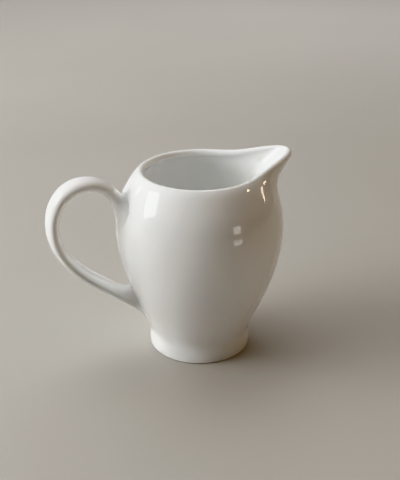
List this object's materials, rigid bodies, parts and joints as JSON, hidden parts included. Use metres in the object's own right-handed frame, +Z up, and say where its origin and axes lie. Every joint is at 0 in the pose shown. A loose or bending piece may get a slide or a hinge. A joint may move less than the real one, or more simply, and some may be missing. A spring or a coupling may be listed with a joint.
{
  "type": "cream jug",
  "caption": "Round-bellied white porcelain cream jug with a pulled-out pouring lip, an oval loop handle stuck on with slip, and a bare foot ring to stand on.",
  "frame": {"origin": "centre of the foot, on the plane that the jug stands on", "axes": "+Z up, +X towards the pouring lip, -X towards the handle; the XZ plane is the jug's mirror plane"},
  "size_m": [0.1176, 0.0798, 0.0973],
  "materials": {
    "glazed_porcelain": "clear high-gloss glaze over white porcelain",
    "bare_porcelain": "unglazed, ground flat, matt"
  },
  "bodies": {
    "root": {"body": "glazed_porcelain", "foot_ring": "bare_porcelain", "handle": "glazed_porcelain", "upper_handle_joint": "glazed_porcelain", "lower_handle_joint": "glazed_porcelain"}
  },
  "joints": []
}
